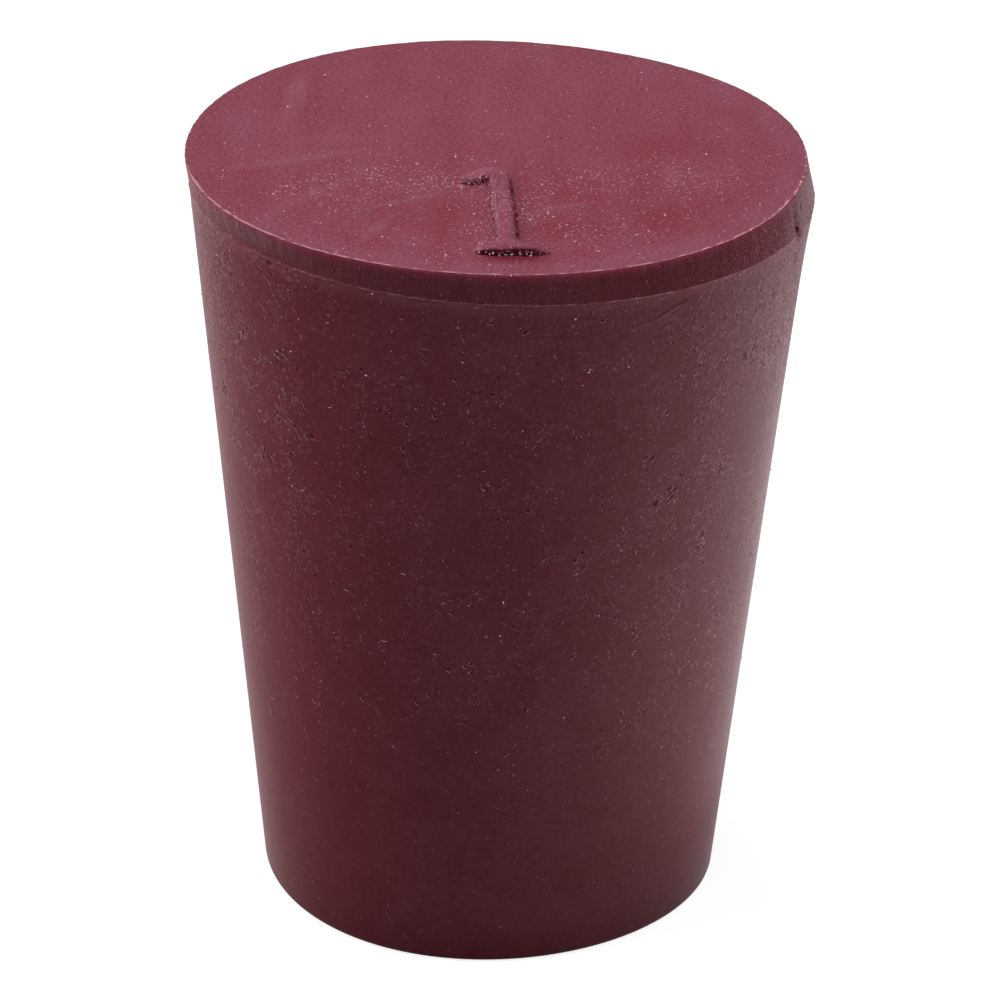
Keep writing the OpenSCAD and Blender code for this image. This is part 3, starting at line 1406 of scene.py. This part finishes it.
@dataclass
class Numeral:
    """The raised size numeral, a one with a flag and a foot serif.

    Each point gives the foot's x and y, then the top's x, y and height over the face.
    """

    face: float = NOMINAL.height
    sunk: float = 0.05
    rounding: float = 0.085
    stride: float = 0.09
    rag: float = 0.040  # how far the outline of the top is pushed about
    rag_scale: float = 6.5
    skew: float = 1.5  # how much more the foot is pushed
    skew_scale: float = 5.0
    heave: float = 3.0  # how much the same noise lifts and lowers the top
    seed: int = 1
    # planes that part the large flat faces
    cuts_x: tuple[float, ...] = (-0.80, -0.60, -0.44, 0.55, 0.75, 0.95)
    cuts_y: tuple[float, ...] = (-6.38, -4.50, -2.30)
    loop: tuple[tuple[float, float, float, float, float], ...] = (
        (-1.07, -2.06, -1.00, -2.05, 0.12),
        (-1.03, -2.30, -0.96, -2.26, 0.12),
        (-0.78, -2.40, -0.76, -2.32, 0.14),
        (-0.58, -2.36, -0.58, -2.26, 0.16),
        (-0.44, -2.22, -0.44, -2.10, 0.175),
        (-0.34, -2.22, -0.24, -2.03, 0.19),
        (-0.32, -2.60, -0.20, -2.50, 0.19),
        (-0.25, -3.90, -0.12, -3.90, 0.19),
        (-0.17, -4.90, -0.05, -4.90, 0.19),
        (-0.09, -6.20, 0.02, -6.25, 0.19),
        (-0.22, -6.37, -0.10, -6.45, 0.19),
        (-0.54, -6.40, -0.46, -6.47, 0.17),
        (-0.68, -6.80, -0.60, -6.80, 0.05),
        (-0.45, -6.97, -0.43, -6.92, 0.15),
        (-0.28, -7.01, -0.27, -6.97, 0.18),
        (0.03, -7.02, 0.03, -6.98, 0.19),
        (0.50, -7.00, 0.50, -6.95, 0.19),
        (0.93, -6.95, 0.92, -6.90, 0.18),
        (1.08, -6.92, 1.05, -6.88, 0.12),
        (1.34, -6.76, 1.27, -6.76, 0.04),
        (1.15, -6.60, 1.10, -6.66, 0.10),
        (0.98, -6.54, 0.93, -6.64, 0.17),
        (0.68, -6.45, 0.60, -6.56, 0.19),
        (0.52, -6.27, 0.36, -6.38, 0.19),
        (0.48, -4.90, 0.33, -4.90, 0.19),
        (0.41, -3.90, 0.26, -3.90, 0.19),
        (0.38, -3.25, 0.22, -3.20, 0.19),
        (0.36, -3.08, 0.15, -3.10, 0.19),
        (0.35, -2.92, 0.15, -2.95, 0.19),
        (0.34, -2.75, 0.21, -2.82, 0.19),
        (0.28, -1.95, 0.15, -1.98, 0.19),
        (0.14, -1.56, 0.04, -1.66, 0.19),
        (-0.10, -1.45, -0.12, -1.54, 0.19),
        (-0.30, -1.45, -0.28, -1.53, 0.185),
        (-0.58, -1.52, -0.52, -1.58, 0.16),
        (-0.84, -1.78, -0.77, -1.82, 0.14),
    )

    def build(self, finish: bpy.types.Material) -> bpy.types.Object:
        """Make the numeral as a closed solid, sunk a little into the face.

        Args:
            finish: The face's material.

        Returns:
            The numeral.
        """
        form = bmesh.new()
        outline = self.ragged()
        foot = [form.verts.new((x, y, self.face)) for x, y, _, _, _ in outline]
        top = [form.verts.new((x, y, self.face + h)) for _, _, x, y, h in outline]
        form.faces.new(foot[::-1])
        lid = form.faces.new(top)
        rings = []
        for ring in (foot, top):
            rings += [form.edges.get((a, b)) for a, b in zip(ring, ring[1:] + ring[:1])]
        bmesh.ops.bridge_loops(form, edges=rings)
        for vert in foot:
            vert.co.z = self.face - self.sunk
            away = [edge.other_vert(vert) for edge in vert.link_edges]
            over = next(other for other in away if other.co.z > self.face)
            vert.co.xy += (vert.co.xy - over.co.xy) * self.sunk / (over.co.z - self.face)
        bmesh.ops.recalc_face_normals(form, faces=form.faces)
        bmesh.ops.bevel(
            form,
            geom=list(lid.edges),
            affect="EDGES",
            offset=self.rounding,
            offset_type="OFFSET",
            segments=3,
            profile=0.5,
            material=-1,
            clamp_overlap=True,
        )
        for across, places in (((1.0, 0.0, 0.0), self.cuts_x), ((0.0, 1.0, 0.0), self.cuts_y)):
            for at in places:
                whole = form.verts[:] + form.edges[:] + form.faces[:]
                bmesh.ops.bisect_plane(form, geom=whole, plane_co=Vector(across) * at, plane_no=across)
        numeral = finish_mesh(form, "size_numeral")
        numeral.data.materials.append(finish)
        return numeral

    def ragged(self) -> list[tuple[float, ...]]:
        """Lay out the outline in short strides, pushed about as moulded rubber tears.

        Returns:
            The points, each as in the loop.
        """
        noise.seed_set(self.seed)
        points = []
        for start, end in zip(self.loop, self.loop[1:] + self.loop[:1]):
            count = max(1, round(math.dist(start[:2], end[:2]) / self.stride))
            for step in range(count):
                share = step / count
                x, y, over_x, over_y, rise = (a + (b - a) * share for a, b in zip(start, end))
                push = noise.noise_vector(Vector((over_x, over_y, 0.0)) * self.rag_scale) * self.rag
                skew = noise.noise_vector(Vector((x, y, 3.0)) * self.skew_scale) * self.rag * self.skew
                over_x, over_y = over_x + push.x, over_y + push.y
                rise *= 1.0 + self.heave * push.z
                points.append((x + skew.x, y + skew.y, over_x, over_y, rise))
        return points


# ---------------------------------------------------------------- dust


@dataclass(frozen=True)
class Drift:
    """A place where flakes fall: the ray's start, its spread, its aim and the number of flakes."""

    start: Point
    spread: Point
    aim: Point
    count: int


@dataclass
class Dust:
    """Fine pale flakes and short fibres that lie on the plug and catch against the numeral."""

    seed: int = 7
    on_face: int = 110
    on_flank: int = 640
    fibres: int = 48
    face_reach: float = 8.0
    flank_top: float = 20.25
    crowding: float = 0.36  # the smaller, the more of them lie high up
    side_start: float = 12.0
    longest_ray: float = 15.0
    usual_size: float = 0.0110
    largest_size: float = 0.032
    fibre_long: tuple[float, float] = (0.04, 0.10)
    fibre_bend: tuple[float, float] = (3.0, 9.0)
    fibre_radii: tuple[float, float] = (0.010, 0.004)
    drifts: tuple[Drift, ...] = (
        Drift((-2.5, -2.3, ABOVE), (1.3, 0.9, 0.0), DOWN, 60),
        Drift((-4.6, -2.8, ABOVE), (1.2, 0.9, 0.0), DOWN, 18),
        Drift((0.7, -3.6, ABOVE), (0.22, 1.2, 0.0), DOWN, 34),
        Drift((-0.5, -4.9, ABOVE), (0.25, 1.0, 0.0), DOWN, 26),
        Drift((2.6, -3.6, ABOVE), (1.4, 1.6, 0.0), DOWN, 56),
        Drift((5.0, -1.4, ABOVE), (1.1, 1.2, 0.0), DOWN, 32),
        Drift((-0.7, -4.0, 21.04), (0.20, 0.0, 0.03), (0.0, 1.0, 0.0), 22),
        Drift((0.40, -9.0, 21.05), (0.50, 0.0, 0.04), (0.0, 1.0, 0.0), 64),
        Drift((-1.5, -4.2, 21.07), (0.0, 1.2, 0.05), (1.0, 0.0, 0.0), 64),
        Drift((1.6, -3.6, 21.09), (0.0, 1.3, 0.07), (-1.0, 0.0, 0.0), 26),
    )
    named: tuple[tuple[float, float, float], ...] = (
        (1.92, -6.00, 0.040),
        (1.68, -5.68, 0.034),
        (2.08, -1.72, 0.030),
        (1.32, -2.20, 0.030),
        (-3.00, -1.16, 0.030),
        (-2.20, -1.04, 0.028),
        (-1.20, -0.48, 0.030),
        (-0.76, -0.68, 0.030),
        (-1.28, -4.12, 0.030),
        (-2.80, -3.92, 0.028),
        (-2.12, -6.44, 0.028),
        (2.44, -5.24, 0.026),
    )

    def build(self, pieces: tuple[bpy.types.Object, ...]) -> bpy.types.Object:
        """Scatter the flakes over the pieces' own surfaces.

        Args:
            pieces: The pieces that they lie on.

        Returns:
            One object that holds all the flakes.
        """
        chance = random.Random(self.seed)
        graph = bpy.context.evaluated_depsgraph_get()
        trees = [BVHTree.FromObject(piece, graph) for piece in pieces]
        form = bmesh.new()
        for start, aim in self.rays(chance):
            self.lay(form, self.strike(trees, start, aim), self.flake_size(chance), chance)
        for x, y, size in self.named:
            self.lay(form, self.strike(trees, Vector((x, y, ABOVE)), Vector(DOWN)), size, chance)
        for _ in range(self.fibres):
            self.curl(form, self.strike(trees, *self.at_side(chance)), chance)
        flakes = finish_mesh(form, "dust_flakes")
        flakes.data.materials.append(DustFinish().build())
        return flakes

    def rays(self, chance: random.Random) -> list[tuple[Vector, Vector]]:
        """Cast the rays that place the flakes.

        Args:
            chance: Source of their places.

        Returns:
            The start and the aim of each, in millimetres.
        """
        rays = [self.at_side(chance) for _ in range(self.on_flank)]
        for _ in range(self.on_face):
            turn = chance.uniform(0.0, 2.0 * math.pi)
            reach = self.face_reach * math.sqrt(chance.random())
            start = Vector((reach * math.cos(turn), reach * math.sin(turn), ABOVE))
            rays.append((start, Vector(DOWN)))
        for drift in self.drifts:
            for _ in range(drift.count):
                shift = Vector([chance.gauss(0.0, 1.0) * reach for reach in drift.spread])
                rays.append((Vector(drift.start) + shift, Vector(drift.aim)))
        return rays

    def at_side(self, chance: random.Random) -> tuple[Vector, Vector]:
        """A level ray at the flank, more often high up than low down.

        Args:
            chance: Source of its place.

        Returns:
            Its start and its aim, in millimetres.
        """
        turn = chance.uniform(0.0, 2.0 * math.pi)
        level = self.flank_top * chance.random() ** self.crowding
        start = Vector((self.side_start * math.cos(turn), self.side_start * math.sin(turn), level))
        return start, Vector((-math.cos(turn), -math.sin(turn), 0.0))

    def flake_size(self, chance: random.Random) -> float:
        """Half width of one flake: mostly very fine."""
        return min(self.largest_size, self.usual_size * math.exp(0.45 * chance.gauss(0.0, 1.0)))

    def strike(self, trees: list[BVHTree], start: Vector, aim: Vector) -> tuple[Vector, Vector] | None:
        """Where a ray first meets a piece.

        Args:
            trees: The pieces' surfaces, in metres.
            start: Start of the ray, in millimetres.
            aim: Its direction.

        Returns:
            The place in millimetres and the surface's normal, or None where it meets nothing.
        """
        hits = [tree.ray_cast(start * MM, aim) for tree in trees]
        hits = [hit for hit in hits if hit[0] is not None and hit[3] < self.longest_ray * MM]
        if not hits:
            return None
        nearest = min(hits, key=lambda hit: hit[3])
        return nearest[0] / MM, nearest[1]

    def frame(self, hit: tuple[Vector, Vector], lift: float, chance: random.Random) -> Matrix:
        """A frame on the surface, turned at random.

        Args:
            hit: The place and the surface's normal.
            lift: How far it stands over the surface.
            chance: Source of its turn.

        Returns:
            The frame.
        """
        place, normal = hit
        turn = normal.to_track_quat("Z", "Y").to_matrix().to_4x4()
        spin = Matrix.Rotation(chance.uniform(0.0, 2.0 * math.pi), 4, "Z")
        return Matrix.Translation(place + normal * lift) @ turn @ spin

    def lay(self, form: bmesh.types.BMesh, hit: tuple | None, size: float, chance: random.Random) -> None:
        """Lay one flake.

        Args:
            form: The mesh that gathers the flakes, in millimetres.
            hit: Where it lies.
            size: Its half width.
            chance: Source of its turn and length.
        """
        if hit is None:
            return
        shape = Matrix.Diagonal((size * chance.uniform(1.0, 1.7), size, size * 0.8, 1.0))
        place = self.frame(hit, size * 0.3, chance)
        bmesh.ops.create_icosphere(form, subdivisions=1, radius=1.0, matrix=place @ shape)

    def curl(self, form: bmesh.types.BMesh, hit: tuple | None, chance: random.Random) -> None:
        """Lay one short curved fibre.

        Args:
            form: The mesh that gathers the flakes, in millimetres.
            hit: Where it lies.
            chance: Source of its size and bend.
        """
        if hit is None:
            return
        long = chance.uniform(*self.fibre_long)
        bend = chance.choice((-1.0, 1.0)) * chance.uniform(*self.fibre_bend)
        thick, thin = self.fibre_radii
        strand = bmesh.new()
        bmesh.ops.create_cone(
            strand, cap_ends=True, segments=4, radius1=thick, radius2=thin, depth=2.0 * long
        )
        rails = [edge for edge in strand.edges if edge.calc_length() > long]
        bmesh.ops.subdivide_edges(strand, edges=rails, cuts=5)
        for vert in strand.verts:
            vert.co.y += bend * vert.co.z**2
        strand.transform(self.frame(hit, 0.006, chance) @ Matrix.Rotation(math.pi / 2, 4, "Y"))
        mesh = bpy.data.meshes.new("strand")
        strand.to_mesh(mesh)
        strand.free()
        form.from_mesh(mesh)
        bpy.data.meshes.remove(mesh)


# ---------------------------------------------------------------- the studio


@dataclass(frozen=True)
class Softbox:
    """One soft lamp that faces the plug, with its bearing from the camera's side."""

    name: str
    bearing: float
    rise: float
    level: float
    size: float = 300.0
    away: float = 300.0
    middle: Point = (0.0, 0.0, 12.0)

    def build(self) -> bpy.types.Object:
        """Hang the lamp.

        Returns:
            The lamp.
        """
        turn, rise = math.radians(self.bearing), math.radians(self.rise)
        aim = Vector((math.sin(turn) * math.cos(rise), -math.cos(turn) * math.cos(rise), math.sin(rise)))
        return hang(self.name, aim * self.away + Vector(self.middle), aim, self.size, self.level)


@dataclass(frozen=True)
class Panel:
    """A square lamp that lies on the floor and shines up."""

    place: Point = (32.0, 5.0, 0.2)
    size: float = 46.0
    level: float = 1.05


def hang(name: str, place: Vector, aim: Vector, size: float, level: float) -> bpy.types.Object:
    """Make a square lamp that only lights.

    Args:
        name: The lamp's name.
        place: Its middle, in millimetres.
        aim: Where its back points.
        size: Its side, in millimetres.
        level: Its brightness, where 1 is white.

    Returns:
        The lamp.
    """
    lamp = bpy.data.lights.new(name, "AREA")
    lamp.shape = "SQUARE"
    lamp.size = size * MM
    lamp.energy = level * math.pi * lamp.size**2
    holder = bpy.data.objects.new(name, lamp)
    holder.location = place * MM
    holder.rotation_euler = aim.to_track_quat("Z", "Y").to_euler()
    holder.visible_camera = False
    bpy.context.scene.collection.objects.link(holder)
    return holder


@dataclass(frozen=True)
class Camera:
    """The camera: its lens, its place in millimetres and the way that its picture lies."""

    focal: float = 178.7
    sensor: float = 36.0
    nearest: float = 10.0
    place: Point = (0.189, -121.218, 69.688)
    right: Point = (0.999682, 0.011008, 0.022669)
    down: Point = (0.0252, -0.436701, -0.899254)
    ahead: Point = (0.0, 0.89954, -0.43684)

    def build(self) -> bpy.types.Object:
        """Place the camera, a little above the plug and leaning slightly.

        Returns:
            The camera, which the scene now uses.
        """
        lens = bpy.data.cameras.new("camera")
        lens.sensor_width = self.sensor
        lens.lens = self.focal
        lens.clip_start = self.nearest * MM
        holder = bpy.data.objects.new("camera", lens)
        turn = Matrix((self.right, -Vector(self.down), -Vector(self.ahead))).transposed().to_4x4()
        holder.matrix_world = Matrix.Translation(Vector(self.place) * MM) @ turn
        bpy.context.scene.collection.objects.link(holder)
        bpy.context.scene.camera = holder
        return holder


@dataclass
class Studio:
    """Floor, room, lamps and camera."""

    lamps: tuple[Softbox, ...] = (
        Softbox("right_high_softbox", 40.0, 60.0, 1.95),
        Softbox("left_high_softbox", -90.0, 35.0, 2.00),
        Softbox("left_back_softbox", -135.0, 10.0, 2.62),
        Softbox("left_softbox", -110.0, 10.0, 0.67),
        Softbox("right_softbox", 110.0, 10.0, 0.62),
    )
    panel: Panel = Panel()
    ambient: float = 0.07
    floor_radius: float = 1500.0
    floor_glow: float = 0.82
    floor_lit: Colour = (0.05, 0.05, 0.05)
    floor_seen: Colour = (0.35, 0.35, 0.35)

    def floor(self) -> bpy.types.Object:
        """Lay the plain pale floor, which is dim to the light that it throws back.

        Returns:
            The floor.
        """
        form = bmesh.new()
        bmesh.ops.create_circle(form, cap_ends=True, segments=96, radius=self.floor_radius)
        floor = finish_mesh(form, "floor")
        bench = Bench("pale_floor")
        bench.shader.inputs["Roughness"].default_value = 0.9
        bench.shader.inputs["Specular IOR Level"].default_value = 0.0
        bench.shader.inputs["Emission Color"].default_value = WHITE
        path = bench.nodes.new("ShaderNodeLightPath")
        seen = bench.math("MAXIMUM", path.outputs["Is Camera Ray"], path.outputs["Is Glossy Ray"])
        seen = bench.math("MAXIMUM", seen, path.outputs["Is Transmission Ray"])
        tone = bench.blend(seen, self.floor_lit, self.floor_seen)
        bench.feed(bench.shader.inputs["Base Color"], tone)
        bench.feed(bench.shader.inputs["Emission Strength"], bench.mul(seen, self.floor_glow))
        bench.material.cycles.emission_sampling = "NONE"
        floor.data.materials.append(bench.material)
        return floor

    def room(self) -> None:
        """Set the even light of the room, and the white that is seen beyond the floor."""
        world = bpy.data.worlds.new("studio_room")
        bpy.context.scene.world = world
        world.use_nodes = True
        world.cycles.sampling_method = "NONE"
        nodes, links = world.node_tree.nodes, world.node_tree.links
        nodes.clear()
        path = nodes.new("ShaderNodeLightPath")
        seen = path.outputs["Is Camera Ray"]
        for ray in ("Is Glossy Ray", "Is Transmission Ray"):
            either = nodes.new("ShaderNodeMath")
            either.operation = "MAXIMUM"
            links.new(seen, either.inputs[0])
            links.new(path.outputs[ray], either.inputs[1])
            seen = either.outputs[0]
        shades = []
        for strength in (self.ambient, 1.0):
            shade = nodes.new("ShaderNodeBackground")
            shade.inputs["Color"].default_value = WHITE
            shade.inputs["Strength"].default_value = strength
            shades.append(shade)
        mix = nodes.new("ShaderNodeMixShader")
        links.new(seen, mix.inputs[0])
        links.new(shades[0].outputs[0], mix.inputs[1])
        links.new(shades[1].outputs[0], mix.inputs[2])
        output = nodes.new("ShaderNodeOutputWorld")
        links.new(mix.outputs[0], output.inputs["Surface"])

    def build(self) -> None:
        """Set up everything round the plug."""
        self.floor()
        self.room()
        for lamp in self.lamps:
            lamp.build()
        panel = self.panel
        hang("right_floor_panel", Vector(panel.place), Vector(DOWN), panel.size, panel.level)
        Camera().build()
        bpy.context.scene.view_settings.view_transform = "Standard"


# ---------------------------------------------------------------- the order of work


def report(piece: bpy.types.Object) -> None:
    """Log a finished piece and its face count."""
    LOG.info("%s: %d faces", piece.name, len(piece.data.polygons))


def main() -> None:
    """Build the stopper and its studio."""
    logging.basicConfig(level=logging.INFO, format="%(name)s: %(message)s")
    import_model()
    Studio().build()
    plug = Plug().build()
    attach(plug, "root")
    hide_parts("stopper")
    report(plug)
    numeral = Numeral().build(plug.data.materials[Zone.FACE.value])
    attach(numeral, "root")
    report(numeral)
    dust = Dust().build((plug, numeral))
    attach(dust, "root")
    report(dust)


if __name__ == "__main__":
    main()
